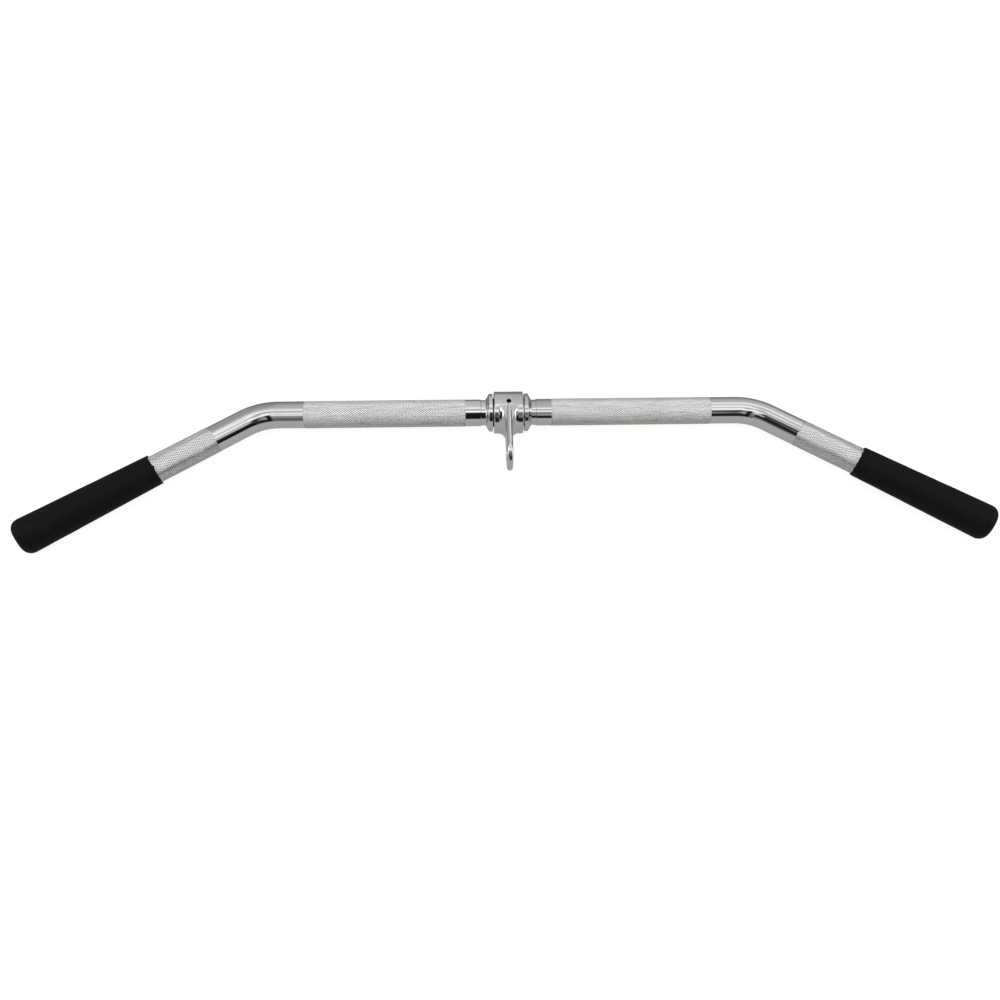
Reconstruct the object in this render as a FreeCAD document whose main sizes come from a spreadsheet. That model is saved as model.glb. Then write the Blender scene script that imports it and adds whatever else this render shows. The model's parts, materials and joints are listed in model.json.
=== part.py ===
import FreeCAD, Part
import os
import Sketcher
from FreeCAD import Placement, Rotation, Vector

# Lat pulldown bar, lying as it does on a table: +X along the bar, arms towards -Y, +Z up.
# The origin is the centre of the hanger's eye, and the lowest points are the sleeve,
# the rim of the eye and the outer ends of the two handgrips.

# Driving sizes in millimetres, angles in degrees. "start" and "end" along the middle of
# the bar count from its centre, and along an arm from the corner where the two axes meet.
SIZES = {
    # Tubes of the bar
    "tube_diameter": 28.0,
    "tube_wall": 3.0,
    "tube_start": 28.5,
    "tube_end_chamfer": 0.6,
    "bend_place": 258.5,
    "bend_radius": 62.0,
    "bend_angle": 33.0,
    "arm_length": 262.5,
    # Knurled stretches
    "knurl_rise": 0.2,
    "knurl_start": 45.2,
    "knurl_end": 212.2,
    "arm_knurl_start": 54.0,
    # Solid spindle that joins the tubes
    "spindle_diameter": 26.6,
    "spigot_length": 40.0,
    "spigot_chamfer": 1.0,
    # Revolving hanger
    "sleeve_diameter": 44.0,
    "sleeve_length": 30.4,
    "sleeve_edge_radius": 1.0,
    "eye_reach": 47.5,
    "eye_diameter": 40.0,
    "eye_hole_diameter": 23.0,
    "eye_hole_edge": 1.0,
    "plate_thickness": 6.0,
    "plate_edge_radius": 2.6,
    "root_radius": 8.0,
    "oil_hole_diameter": 5.0,
    # Bushes in the hanger
    "bush_wall": 1.4,
    "bush_seat_depth": 12.0,
    "bush_shoulder": 0.8,
    "bush_chamfer": 0.3,
    # Collars beside the hanger
    "collar_gap": 1.3,
    "collar_diameter": 39.6,
    "collar_rim_width": 3.8,
    "collar_cone_width": 3.5,
    "collar_cone_step": 0.5,
    "collar_edge_radius": 0.4,
    "collar_screw_diameter": 4.0,
    "collar_screw_length": 3.0,
    "socket_width": 2.0,
    "socket_depth": 1.6,
    # Pins through the tubes into the spindle's spigots
    "pin_diameter": 5.0,
    "pin_place": 8.0,
    "pin_seat_depth": 5.0,
    "pin_recess": 0.3,
    "pin_chamfer": 0.5,
    # Handgrips and the discs that close the tubes under them
    "grip_start": 119.5,
    "grip_mouth_diameter": 31.8,
    "grip_end_diameter": 37.0,
    "grip_end_wall": 6.0,
    "grip_end_round": 10.0,
    "grip_mouth_round": 0.7,
    "disc_thickness": 3.0,
    "disc_chamfer": 0.3,
    # Clearances
    "running_clearance": 0.08,
    "thrust_clearance": 0.3,
    "slide_clearance": 0.05,
    "press_clearance": 0.02,
    # How far every cutting shape runs past what it cuts
    "overrun": 1.0,
    # Places closer than this are the same place
    "match_distance": 0.001,
}

# Sizes worked out from the driving ones. Trigonometry in the sheet is in degrees.
DERIVED = {
    "tube_radius": "tube_diameter / 2",
    "tube_bore": "tube_radius - tube_wall",
    "tube_mid_wall": "tube_radius - tube_wall / 2",
    "bend_tangent": "bend_radius * tan(bend_angle / 2)",
    "bend_start": "bend_place - bend_tangent",
    "bend_end_x": "bend_place + bend_tangent * cos(bend_angle)",
    "bend_end_y": "bend_tangent * sin(bend_angle)",
    "tube_end": "arm_length - grip_end_wall",
    "tube_end_x": "bend_place + tube_end * cos(bend_angle)",
    "tube_end_y": "tube_end * sin(bend_angle)",
    "knurl_radius": "tube_radius + knurl_rise",
    "spindle_radius": "spindle_diameter / 2",
    "spigot_radius": "tube_bore - press_clearance",
    "spigot_end": "tube_start + spigot_length",
    "sleeve_radius": "sleeve_diameter / 2",
    "sleeve_half": "sleeve_length / 2",
    "eye_radius": "eye_diameter / 2",
    "eye_hole_radius": "eye_hole_diameter / 2",
    "droop_share": "(sleeve_radius - eye_radius) / eye_reach",
    "droop_angle": "asin(droop_share)",
    "rim_share": "sqrt(1 - droop_share ^ 2)",
    "rim_start_y": "sleeve_radius * droop_share",
    "rim_start_z": "sleeve_radius * rim_share",
    "rim_end_y": "eye_reach + eye_radius * droop_share",
    "rim_end_z": "eye_radius * rim_share",
    "oil_hole_radius": "oil_hole_diameter / 2",
    "plate_half": "plate_thickness / 2",
    "root_half": "plate_half + root_radius",
    "root_width": "2 * root_half",
    "root_top": "sleeve_radius + root_radius",
    "root_end_z": "(sleeve_radius - root_top * droop_share) / rim_share - plate_edge_radius",
    "trim_side": "root_half + overrun",
    "trim_top": "eye_reach + eye_diameter",
    "bush_bore": "spindle_radius + running_clearance",
    "bush_radius": "bush_bore + bush_wall",
    "seat_radius": "bush_radius + press_clearance",
    "shoulder_radius": "seat_radius - bush_shoulder",
    "seat_end": "sleeve_half - bush_seat_depth",
    "sleeve_past": "sleeve_half + overrun",
    "bush_end": "sleeve_half + collar_gap - thrust_clearance",
    "collar_face": "sleeve_half + collar_gap",
    "collar_radius": "collar_diameter / 2",
    "collar_bore": "spindle_radius + slide_clearance",
    "collar_rim_end": "collar_face + collar_rim_width",
    "collar_end": "collar_rim_end + collar_cone_width",
    "collar_cone_radius": "spindle_radius + collar_cone_step",
    "screw_place": "(collar_face + collar_end) / 2",
    "screw_radius": "collar_screw_diameter / 2",
    "screw_hole_radius": "screw_radius + slide_clearance",
    "screw_end": "spindle_radius + collar_screw_length",
    "socket_start": "screw_end - socket_depth",
    "socket_corner": "socket_width / sqrt(3)",
    "socket_corner_half": "socket_corner / 2",
    "socket_half": "socket_width / 2",
    "pin_x": "tube_start + pin_place",
    "pin_radius": "pin_diameter / 2",
    "pin_hole_radius": "pin_radius + press_clearance",
    "pin_seat": "tube_bore - pin_seat_depth",
    "pin_end": "tube_radius - pin_recess",
    "pin_length": "pin_end - pin_seat",
    "grip_bore": "knurl_radius",
    "grip_mouth_radius": "grip_mouth_diameter / 2",
    "grip_end_radius": "grip_end_diameter / 2",
    "disc_radius": "tube_bore - press_clearance",
    "disc_start": "tube_end - disc_thickness",
    "grip_foot_reach": "(arm_length - grip_end_round) * sin(bend_angle)",
    "tilt_angle": "asin((sleeve_radius - grip_end_radius) / grip_foot_reach)",
    "axis_back": "eye_reach * rim_share",
    "axis_height": "eye_reach * droop_share",
}

SIDES = {"left": "-", "right": ""}

doc = FreeCAD.newDocument("lat_pulldown_bar")
sheet = doc.addObject("Spreadsheet::Sheet", "Sizes")


def fill_sheet():
    """Column A names each size, column B holds it under that name."""
    texts = {name: str(value) for name, value in SIZES.items()}
    texts.update({name: "=" + formula for name, formula in DERIVED.items()})
    for row, (name, text) in enumerate(texts.items(), start=1):
        sheet.set("A%d" % row, name)
        sheet.set("B%d" % row, text)
        sheet.setAlias("B%d" % row, name)
    doc.recompute()


def size(name):
    """The value of a sheet entry, with a leading minus if the name has one."""
    value = float(getattr(sheet, name.lstrip("-")))
    return -value if name.startswith("-") else value


def cell(name):
    """The same entry as a formula for a property."""
    sign = "-" if name.startswith("-") else ""
    return sign + "Sizes." + name.lstrip("-")


def new_body(label):
    body = doc.addObject("PartDesign::Body", label)
    body.Label = label
    return body


def plane(body, role):
    return [item for item in body.Origin.OriginFeatures if item.Role == role][0]


def new_sketch(body, role, name, shift=None, turn=None):
    """A sketch on one of the body's origin planes, moved by shift and turned in its plane."""
    sketch = body.newObject("Sketcher::SketchObject", body.Label + "_" + name)
    sketch.AttachmentSupport = [(plane(body, role), "")]
    sketch.MapMode = "FlatFace"
    sketch.AttachmentOffset = Placement(Vector(), Rotation(Vector(0, 0, 1), 0))
    for axis, entry in (shift or {}).items():
        sketch.setExpression("AttachmentOffset.Base." + axis, cell(entry))
    if turn:
        sketch.AttachmentOffset = Placement(Vector(), Rotation(Vector(0, 0, 1), 1))
        sketch.setExpression("AttachmentOffset.Rotation.Angle", turn)
    return sketch


def fix_value(sketch, kind, parts, entry):
    """One dimension of the sketch, bound to the sheet."""
    index = sketch.addConstraint(Sketcher.Constraint(kind, *parts, size(entry)))
    name = "size_%d" % index
    sketch.renameConstraint(index, name)
    sketch.setExpression("Constraints." + name, cell(entry))


def fix_point(sketch, edge, end, corner):
    """Hold one end of an edge at a named place, or on an axis where the entry is empty."""
    for kind, axis, entry in (("DistanceX", -2, corner[0]), ("DistanceY", -1, corner[1])):
        if entry:
            fix_value(sketch, kind, (-1, 1, edge, end), entry)
        else:
            sketch.addConstraint(Sketcher.Constraint("PointOnObject", edge, end, axis))


def place(corner):
    return Vector(size(corner[0]) if corner[0] else 0, size(corner[1]) if corner[1] else 0, 0)


def arc_between(start, end, radius, side):
    """A circular arc of the given radius that bulges to the left (1) or right (-1) of start-end.
    It always runs anticlockwise, so a left bulge starts at the far end."""
    chord = end - start
    left = Vector(-chord.y, chord.x, 0).normalize()
    rise = radius - (radius ** 2 - (chord.Length / 2) ** 2) ** 0.5
    middle = (start + end) / 2 + left * rise * side
    return Part.Arc(end, middle, start) if side > 0 else Part.Arc(start, middle, end)


def draw(sketch, corners, arcs=None, closed=True):
    """Straight edges through the named corners. arcs maps a corner's number to the radius
    and side of the curved edge that leaves it."""
    arcs = arcs or {}
    count = len(corners) if closed else len(corners) - 1
    for number in range(count):
        start, end = place(corners[number]), place(corners[(number + 1) % len(corners)])
        if number in arcs:
            entry, side = arcs[number]
            sketch.addGeometry(arc_between(start, end, size(entry), side))
        else:
            sketch.addGeometry(Part.LineSegment(start, end))
    ends = [edge_ends(sketch, number, corners) for number in range(count)]
    for number in range(count):
        fix_point(sketch, number, ends[number][0], corners[number])
        if closed or number + 1 < count:
            following = (number + 1) % count
            joint = (number, ends[number][1], following, ends[following][0])
            sketch.addConstraint(Sketcher.Constraint("Coincident", *joint))
        else:
            fix_point(sketch, number, ends[number][1], corners[number + 1])
    for number, (entry, side) in arcs.items():
        fix_value(sketch, "Radius", (number,), entry)


def edge_ends(sketch, number, corners):
    """Which end of an edge, 1 or 2, lies at the corner where it starts, and which at its end."""
    start = place(corners[number])
    near = sketch.Geometry[number].StartPoint
    return (1, 2) if near.distanceToPoint(start) < size("match_distance") else (2, 1)


def draw_circle(sketch, centre, radius):
    """A circle of a named radius about a named centre."""
    index = sketch.addGeometry(Part.Circle(place(centre), Vector(0, 0, 1), size(radius)))
    fix_point(sketch, index, 3, centre)
    fix_value(sketch, "Radius", (index,), radius)


def turned(body, sketch, kind="PartDesign::Revolution"):
    """Turn a sketch all the way round its own horizontal axis, as material or as a cut."""
    feature = body.newObject(kind, sketch.Label + "_turned")
    feature.Profile = sketch
    feature.ReferenceAxis = (sketch, ["H_Axis"])
    feature.Angle = 360
    return feature


def padded(body, sketch, length, symmetric=False):
    feature = body.newObject("PartDesign::Pad", sketch.Label + "_pad")
    feature.Profile = sketch
    feature.SideType = "Symmetric" if symmetric else "One side"
    feature.setExpression("Length", cell(length))
    return feature


def pocketed(body, sketch, length, both=False, backwards=False):
    """Cut a sketch out of the body, and make sure that material really went."""
    doc.recompute()
    before = body.Shape.Volume
    feature = body.newObject("PartDesign::Pocket", sketch.Label + "_pocket")
    feature.Profile = sketch
    feature.SideType = "Symmetric" if both else "One side"
    feature.Reversed = backwards
    feature.setExpression("Length", cell(length))
    doc.recompute()
    if body.Shape.Volume >= before:
        raise ValueError(feature.Label + " removes nothing")
    return feature


def round_edges(body, kind, entry, wanted):
    """Fillet or chamfer the edges for which wanted(edge) holds."""
    doc.recompute()
    base = body.Tip
    names = ["Edge%d" % n for n, edge in enumerate(base.Shape.Edges, start=1) if wanted(edge)]
    if not names:
        raise ValueError(body.Label + " has no edge for " + entry)
    feature = body.newObject("PartDesign::" + kind, body.Label + "_" + entry)
    feature.Base = (base, names)
    feature.setExpression("Radius" if kind == "Fillet" else "Size", cell(entry))
    return feature


def same(value, wanted):
    return abs(value - wanted) < size("match_distance")


def is_ring(edge, radius, distance=None):
    """A circular edge of a named radius, and at a named distance from the middle if one is given."""
    if not isinstance(edge.Curve, Part.Circle) or not same(edge.Curve.Radius, size(radius)):
        return False
    return distance is None or same(abs(edge.Curve.Center.x), size(distance))


def stand(body, angle):
    """Put a piece drawn about the bar's axis in its place, turned about that axis."""
    body.Placement = Placement(Vector(), Rotation(Vector(1, 0, 0), 1))
    body.setExpression("Placement.Base.y", "Sizes.axis_back")
    body.setExpression("Placement.Base.z", "Sizes.axis_height")
    body.setExpression("Placement.Rotation.Angle", cell(angle))


def mirrored_corners(corners, sign):
    return [(sign + x if x else x, y) for x, y in corners]


def arm_sketch(body, side, name):
    """A sketch whose horizontal axis runs out along an arm, from the bend's corner."""
    turn = {"left": "180 + Sizes.bend_angle", "right": "-Sizes.bend_angle"}[side]
    return new_sketch(body, "XY_Plane", name, {"x": SIDES[side] + "bend_place"}, turn)


def make_tube(side):
    """Bent tube with two raised knurled stretches and the hole for its spigot pin."""
    body = new_body("arm_tube_" + side)
    sign = SIDES[side]
    route = new_sketch(body, "XY_Plane", "route")
    corners = [("tube_start", ""), ("bend_start", ""), ("bend_end_x", "-bend_end_y"),
               ("tube_end_x", "-tube_end_y")]
    bulge = 1 if side == "right" else -1
    draw(route, mirrored_corners(corners, sign), {1: ("bend_radius", bulge)}, closed=False)
    ring = new_sketch(body, "YZ_Plane", "ring", {"z": sign + "tube_start"})
    draw_circle(ring, ("", ""), "tube_radius")
    draw_circle(ring, ("", ""), "tube_bore")
    pipe = body.newObject("PartDesign::AdditivePipe", body.Label + "_pipe")
    pipe.Profile = ring
    pipe.Spine = (route, ["Edge1", "Edge2", "Edge3"])
    band = [("knurl_start", "tube_mid_wall"), ("knurl_end", "tube_mid_wall"),
            ("knurl_end", "knurl_radius"), ("knurl_start", "knurl_radius")]
    middle = new_sketch(body, "XY_Plane", "middle_knurl")
    draw(middle, mirrored_corners(band, sign))
    turned(body, middle)
    arm_band = [("arm_knurl_start", "tube_mid_wall"), ("tube_end", "tube_mid_wall"),
                ("tube_end", "knurl_radius"), ("arm_knurl_start", "knurl_radius")]
    outer = arm_sketch(body, side, "arm_knurl")
    draw(outer, arm_band)
    turned(body, outer)
    round_edges(body, "Chamfer", "tube_end_chamfer",
                lambda edge: is_ring(edge, "tube_radius", "tube_start"))
    hole = new_sketch(body, "XZ_Plane", "pin_hole")
    draw_circle(hole, (sign + "pin_x", ""), "pin_hole_radius")
    pocketed(body, hole, "knurl_radius")
    stand(body, "tilt_angle")
    return body


def make_spindle():
    """Ground bar between the tubes, with a thinner spigot and a blind pin hole at each end."""
    body = new_body("centre_spindle")
    profile = new_sketch(body, "XY_Plane", "profile")
    half = [("spigot_end", ""), ("spigot_end", "spigot_radius"), ("tube_start", "spigot_radius"),
            ("tube_start", "spindle_radius")]
    draw(profile, half + mirrored_corners(half, "-")[::-1])
    turned(body, profile)
    round_edges(body, "Chamfer", "spigot_chamfer",
                lambda edge: is_ring(edge, "spigot_radius", "spigot_end"))
    holes = new_sketch(body, "XZ_Plane", "pin_holes", {"z": "-pin_seat"})
    for sign in SIDES.values():
        draw_circle(holes, (sign + "pin_x", ""), "pin_hole_radius")
    pocketed(body, holes, "spindle_radius")
    stand(body, "tilt_angle")
    return body


def on_rim(edge):
    """An outer edge of the eye plate, but not where the plate ends inside the sleeve."""
    box = edge.BoundBox
    return same(box.XMin, box.XMax) and not same(box.YMin, box.YMax)


def make_hanger():
    """Sleeve with a flat eye plate and a root that flares from the plate into the sleeve."""
    body = new_body("swivel_hanger")
    blank = new_sketch(body, "YZ_Plane", "plate")
    draw(blank, [("-rim_start_y", "rim_start_z"), ("-rim_end_y", "rim_end_z"),
                 ("-rim_end_y", "-rim_end_z"), ("-rim_start_y", "-rim_start_z")],
         {1: ("eye_radius", -1)})
    padded(body, blank, "plate_thickness", symmetric=True)
    round_edges(body, "Fillet", "plate_edge_radius", on_rim)
    sleeve = new_sketch(body, "YZ_Plane", "sleeve")
    draw_circle(sleeve, ("", ""), "sleeve_radius")
    padded(body, sleeve, "sleeve_length", symmetric=True)
    root = new_sketch(body, "YZ_Plane", "root")
    draw(root, [("-rim_start_y", "rim_start_z"), ("-root_top", "root_end_z"),
                ("-root_top", "-root_end_z"), ("-rim_start_y", "-rim_start_z")])
    padded(body, root, "root_width", symmetric=True)
    flank = [("plate_half", "trim_top"), ("plate_half", "root_top"), ("root_half", "sleeve_radius"),
             ("trim_side", "sleeve_radius"), ("trim_side", "trim_top")]
    for side, sign in SIDES.items():
        trim = new_sketch(body, "XY_Plane", "trim_" + side)
        bulge = 1 if side == "right" else -1
        draw(trim, mirrored_corners(flank, sign), {1: ("root_radius", -bulge)})
        turned(body, trim, "PartDesign::Groove")
    eye = new_sketch(body, "YZ_Plane", "eye")
    draw_circle(eye, ("-eye_reach", ""), "eye_hole_radius")
    pocketed(body, eye, "sleeve_length", both=True)
    bore = new_sketch(body, "XY_Plane", "bore")
    half = [("seat_end", "shoulder_radius"), ("seat_end", "seat_radius"), ("sleeve_past", "seat_radius"),
            ("sleeve_past", "")]
    draw(bore, half + mirrored_corners(half, "-")[::-1])
    turned(body, bore, "PartDesign::Groove")
    oil = new_sketch(body, "XY_Plane", "oil_hole")
    draw_circle(oil, ("", ""), "oil_hole_radius")
    pocketed(body, oil, "sleeve_diameter", backwards=True)
    round_edges(body, "Fillet", "sleeve_edge_radius",
                lambda edge: is_ring(edge, "sleeve_radius", "sleeve_half"))
    round_edges(body, "Fillet", "eye_hole_edge", lambda edge: is_ring(edge, "eye_hole_radius"))
    stand(body, "droop_angle")
    return body


def make_bush(side):
    """Nylon bush pressed into one end of the sleeve, standing proud towards the collar."""
    body = new_body("bushing_" + side)
    profile = new_sketch(body, "XY_Plane", "profile")
    ring = [("seat_end", "bush_bore"), ("bush_end", "bush_bore"), ("bush_end", "bush_radius"),
            ("seat_end", "bush_radius")]
    draw(profile, mirrored_corners(ring, SIDES[side]))
    turned(body, profile)
    round_edges(body, "Chamfer", "bush_chamfer", lambda edge: is_ring(edge, "bush_radius"))
    stand(body, "droop_angle")
    return body


def make_collar(side):
    """Stop ring with a cylindrical rim, a conical outer side and a radial screw hole."""
    body = new_body("collar_" + side)
    sign = SIDES[side]
    profile = new_sketch(body, "XY_Plane", "profile")
    section = [("collar_face", "collar_bore"), ("collar_face", "collar_radius"),
               ("collar_rim_end", "collar_radius"), ("collar_end", "collar_cone_radius"),
               ("collar_end", "collar_bore")]
    draw(profile, mirrored_corners(section, sign))
    turned(body, profile)
    round_edges(body, "Fillet", "collar_edge_radius", lambda edge: is_ring(edge, "collar_radius"))
    hole = new_sketch(body, "XZ_Plane", "screw_hole")
    draw_circle(hole, (sign + "screw_place", ""), "screw_hole_radius")
    pocketed(body, hole, "collar_radius")
    stand(body, "tilt_angle")
    return body


def make_collar_screw(side):
    """Grub screw with a hexagon socket, its tip on the spindle."""
    body = new_body("collar_screw_" + side)
    sign = SIDES[side]
    shank = new_sketch(body, "XZ_Plane", "shank", {"z": "-spindle_radius"})
    draw_circle(shank, (sign + "screw_place", ""), "screw_radius")
    padded(body, shank, "collar_screw_length").Reversed = True
    socket = new_sketch(body, "XZ_Plane", "socket", {"x": sign + "screw_place", "z": "-socket_start"})
    draw(socket, [("socket_half", "socket_corner_half"), ("", "socket_corner"),
                  ("-socket_half", "socket_corner_half"), ("-socket_half", "-socket_corner_half"),
                  ("", "-socket_corner"), ("socket_half", "-socket_corner_half")])
    pocketed(body, socket, "collar_screw_length")
    stand(body, "tilt_angle")
    return body


def make_pin(side):
    """Drive pin from just under the tube's surface down to the bottom of the spigot's hole."""
    body = new_body("spigot_pin_" + side)
    shank = new_sketch(body, "XZ_Plane", "shank", {"z": "-pin_seat"})
    draw_circle(shank, (SIDES[side] + "pin_x", ""), "pin_radius")
    padded(body, shank, "pin_length").Reversed = True
    round_edges(body, "Chamfer", "pin_chamfer", lambda edge: is_ring(edge, "pin_radius"))
    stand(body, "tilt_angle")
    return body


def make_disc(side):
    """Steel disc that closes the outer end of the tube."""
    body = new_body("end_disc_" + side)
    profile = arm_sketch(body, side, "profile")
    draw(profile, [("disc_start", ""), ("tube_end", ""), ("tube_end", "disc_radius"),
                   ("disc_start", "disc_radius")])
    turned(body, profile)
    round_edges(body, "Chamfer", "disc_chamfer", lambda edge: is_ring(edge, "disc_radius"))
    stand(body, "tilt_angle")
    return body


def make_grip(side):
    """Tapered rubber handgrip, closed and rounded at its outer end."""
    body = new_body("grip_" + side)
    profile = arm_sketch(body, side, "profile")
    draw(profile, [("grip_start", "grip_bore"), ("grip_start", "grip_mouth_radius"),
                   ("arm_length", "grip_end_radius"), ("arm_length", ""), ("tube_end", ""),
                   ("tube_end", "grip_bore")])
    turned(body, profile)
    round_edges(body, "Fillet", "grip_end_round", lambda edge: is_ring(edge, "grip_end_radius"))
    round_edges(body, "Fillet", "grip_mouth_round", lambda edge: is_ring(edge, "grip_mouth_radius"))
    stand(body, "tilt_angle")
    return body


def check(pieces):
    """Stop if any object of the document failed or any piece is empty, open or broken."""
    doc.recompute()
    for item in doc.Objects:
        if "Invalid" in item.State or "Error" in item.State:
            raise ValueError(item.Label + " could not be built")
    for piece in pieces:
        shape = piece.Shape
        if shape.isNull() or not shape.isValid() or not shape.Solids:
            raise ValueError(piece.Label + " is not a sound solid")
        print("%-20s %2d solid, %8.3f cm3" % (piece.Label, len(shape.Solids), shape.Volume / 1000))


def main():
    fill_sheet()
    pieces = [make_spindle(), make_hanger()]
    for side in SIDES:
        pieces += [make_tube(side), make_collar(side), make_collar_screw(side), make_pin(side),
                   make_bush(side), make_disc(side), make_grip(side)]
    check(pieces)
    os.makedirs("parts", exist_ok=True)
    for piece in pieces:
        piece.Shape.exportStep("parts/" + piece.Label + ".step")


main()
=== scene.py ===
import json
import math
import bpy
import numpy as np
from mathutils import Matrix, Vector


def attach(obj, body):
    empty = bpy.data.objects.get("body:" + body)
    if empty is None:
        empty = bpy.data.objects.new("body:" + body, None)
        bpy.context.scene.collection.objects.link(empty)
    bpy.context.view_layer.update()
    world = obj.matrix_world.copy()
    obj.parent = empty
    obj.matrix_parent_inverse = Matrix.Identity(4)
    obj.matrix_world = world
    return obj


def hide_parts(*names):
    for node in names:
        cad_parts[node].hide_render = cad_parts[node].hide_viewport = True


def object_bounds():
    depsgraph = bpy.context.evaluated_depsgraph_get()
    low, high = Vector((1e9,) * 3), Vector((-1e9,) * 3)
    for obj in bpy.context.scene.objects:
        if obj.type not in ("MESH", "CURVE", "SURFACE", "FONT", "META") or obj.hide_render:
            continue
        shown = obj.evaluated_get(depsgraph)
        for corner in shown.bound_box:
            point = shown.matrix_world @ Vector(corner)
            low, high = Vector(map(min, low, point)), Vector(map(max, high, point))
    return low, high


# Lat pulldown bar lying on a pale floor: chromed tubes with diamond knurling, a turning hanger
# with its eye plate, and matte rubber handgrips.

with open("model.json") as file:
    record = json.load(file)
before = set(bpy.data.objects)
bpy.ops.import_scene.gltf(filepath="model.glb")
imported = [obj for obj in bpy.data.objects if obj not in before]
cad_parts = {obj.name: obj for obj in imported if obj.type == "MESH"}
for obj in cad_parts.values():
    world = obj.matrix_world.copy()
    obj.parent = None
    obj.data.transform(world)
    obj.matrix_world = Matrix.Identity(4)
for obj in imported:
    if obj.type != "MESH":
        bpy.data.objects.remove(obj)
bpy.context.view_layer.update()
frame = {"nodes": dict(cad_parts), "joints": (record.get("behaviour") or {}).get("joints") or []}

MM = 0.001
SIDES = (("left", -1), ("right", 1))

# Sizes of the solids, in millimetres
TUBE_RADIUS = 14.0
TUBE_BORE = 11.0
TUBE_START = 28.5
TUBE_CHAMFER = 0.6
BEND_PLACE = 258.5
BEND_RADIUS = 62.0
BEND_ANGLE = math.radians(33.0)
ARM_LENGTH = 262.5
KNURL_RADIUS = 14.2
KNURL_START, KNURL_END = 45.2, 212.2
ARM_KNURL_START = 54.0
PIN_PLACE = 8.0
PIN_HOLE_RADIUS = 2.52
GRIP_START = 119.5
GRIP_MOUTH_RADIUS = 15.9
GRIP_END_RADIUS = 18.5
GRIP_END_WALL = 6.0
GRIP_END_ROUND = 10.0
GRIP_MOUTH_ROUND = 0.7
SLEEVE_RADIUS = 22.0
EYE_REACH, EYE_RADIUS = 47.5, 20.0
OIL_HOLE_RADIUS = 2.5
GREASE_AND_SHADE_HALF = 3.2

# What the meshes show of the holes: the square of grid round a pin hole and the hole's depth, the
# bore inside a handgrip's mouth, and the margin round the oil hole of the old grease and painted shade
PIN_SQUARE_HALF = 4.5
PIN_HOLE_DEPTH = 2.0
GRIP_BORE_DEPTH = 8.0
OIL_HOLE_MARGIN = 0.08

# Lengths along the tube's axis from its inner end, and how the bar leans as it lies on the floor
BEND_TANGENT = BEND_RADIUS * math.tan(BEND_ANGLE / 2)
BEND_FIRST = BEND_PLACE - BEND_TANGENT - TUBE_START
BEND_LAST = BEND_FIRST + BEND_RADIUS * BEND_ANGLE
CORNER = BEND_LAST - BEND_TANGENT
GRIP_FOOT = (ARM_LENGTH - GRIP_END_ROUND) * math.sin(BEND_ANGLE)
TILT = math.asin((SLEEVE_RADIUS - GRIP_END_RADIUS) / GRIP_FOOT)
DROOP = math.asin((SLEEVE_RADIUS - EYE_RADIUS) / EYE_REACH)
BAR_AXIS = np.array(frame["joints"][0]["pos_m"])

# Knurling, about twice as coarse as is usual, so that it shows: the pitch along the tube and the
# number of diamonds round it, the floor of the grooves, each flat's share of its diamond, and by
# how much the flats differ in size and height
KNURL_PITCH = 3.0
KNURL_COUNT = 40
KNURL_FLOOR = 13.86
KNURL_FLAT_SHARE = 0.55
FLAT_VARIES = (0.9, 1.1)
FLAT_UNEVEN = 0.02

# Its ends: the half diamonds' peaks, the narrow land, the core inside, and the length under a grip
END_PEAK_SHARE = 0.1
END_PEAK_DROP = 0.03
KNURL_LAND = 0.35
LAND_RISE = 0.01
KNURL_CORE = 13.5
KNURL_UNDER_GRIP = 4.0

# The middle of the knurl's painted lit side, above the front and toward the lamp; the rest is painted
# darker as shade. A place on the straightened knurl times this vector is 1 there and falls as the
# cosine of the angle from it.
LIT_SIDE_ANGLE = math.radians(67)
LIT_SIDE = (0.0, -math.cos(LIT_SIDE_ANGLE) / (KNURL_RADIUS * MM), math.sin(LIT_SIDE_ANGLE) / (KNURL_RADIUS * MM))
LIT_SIDE_EDGE = (0.85, 0.95)
LIT_SIDE_RAGGED = 0.1

# Handgrips: how far each mouth's edge wanders, the length in which that fades, and the uneven skin
MOUTH_WANDER = {"left": 1.1, "right": 0.5}
WANDER_FADE = 2.5
SKIN_UNEVEN = 0.035

# Sizes of what handling and polishing leave: patches, streaks along the tube, rubbed places
HANDLED_PATCH = 30.0
POLISH_STREAK = (22.0, 1.0, 1.0)
RUBBED_PLACE = 16.0


# Places on the bar

def stand(points):
    """Bar coordinates in millimetres turned by the tilt about X, moved to the bar's axis, in metres."""
    c, s = math.cos(TILT), math.sin(TILT)
    x, y, z = np.moveaxis(np.asarray(points, float), -1, 0)
    return np.stack([x, c * y - s * z, s * y + c * z], -1) * MM + BAR_AXIS


def bar_point(side, along, angle, radius):
    """The tube straightened: along the axis from its inner end, angle round it from the back,
    radius from it. The axis runs straight, turns by along / bend radius, and runs straight again."""
    turn = np.clip((along - BEND_FIRST) / BEND_RADIUS, 0, BEND_ANGLE)
    arm = np.maximum(along - BEND_LAST, 0)
    x = TUBE_START + np.minimum(along, BEND_FIRST) + BEND_RADIUS * np.sin(turn) + arm * math.cos(BEND_ANGLE)
    y = BEND_RADIUS * (np.cos(turn) - 1) - arm * math.sin(BEND_ANGLE)
    across = radius * np.cos(angle)
    x = side * (x + across * np.sin(turn))
    return stand(np.stack([x, y + across * np.cos(turn), radius * np.sin(angle)], -1))


def straight_place(along, angle, radius):
    """The same place on a straight tube, for patterns that follow the surface, in metres."""
    return np.stack([along, radius * np.cos(angle), radius * np.sin(angle)], -1) * MM


# Meshes

def quads(rows, columns, wrap_rows=False):
    """Faces between neighbouring points of a grid whose last column meets its first."""
    r = np.arange(rows if wrap_rows else rows - 1)[:, None]
    c = np.arange(columns)[None, :]
    below, beside = (r + 1) % rows, (c + 1) % columns
    corners = [r * columns + c, r * columns + beside, below * columns + beside, below * columns + c]
    return np.stack(np.broadcast_arrays(*corners), -1).reshape(-1, 4)


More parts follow.
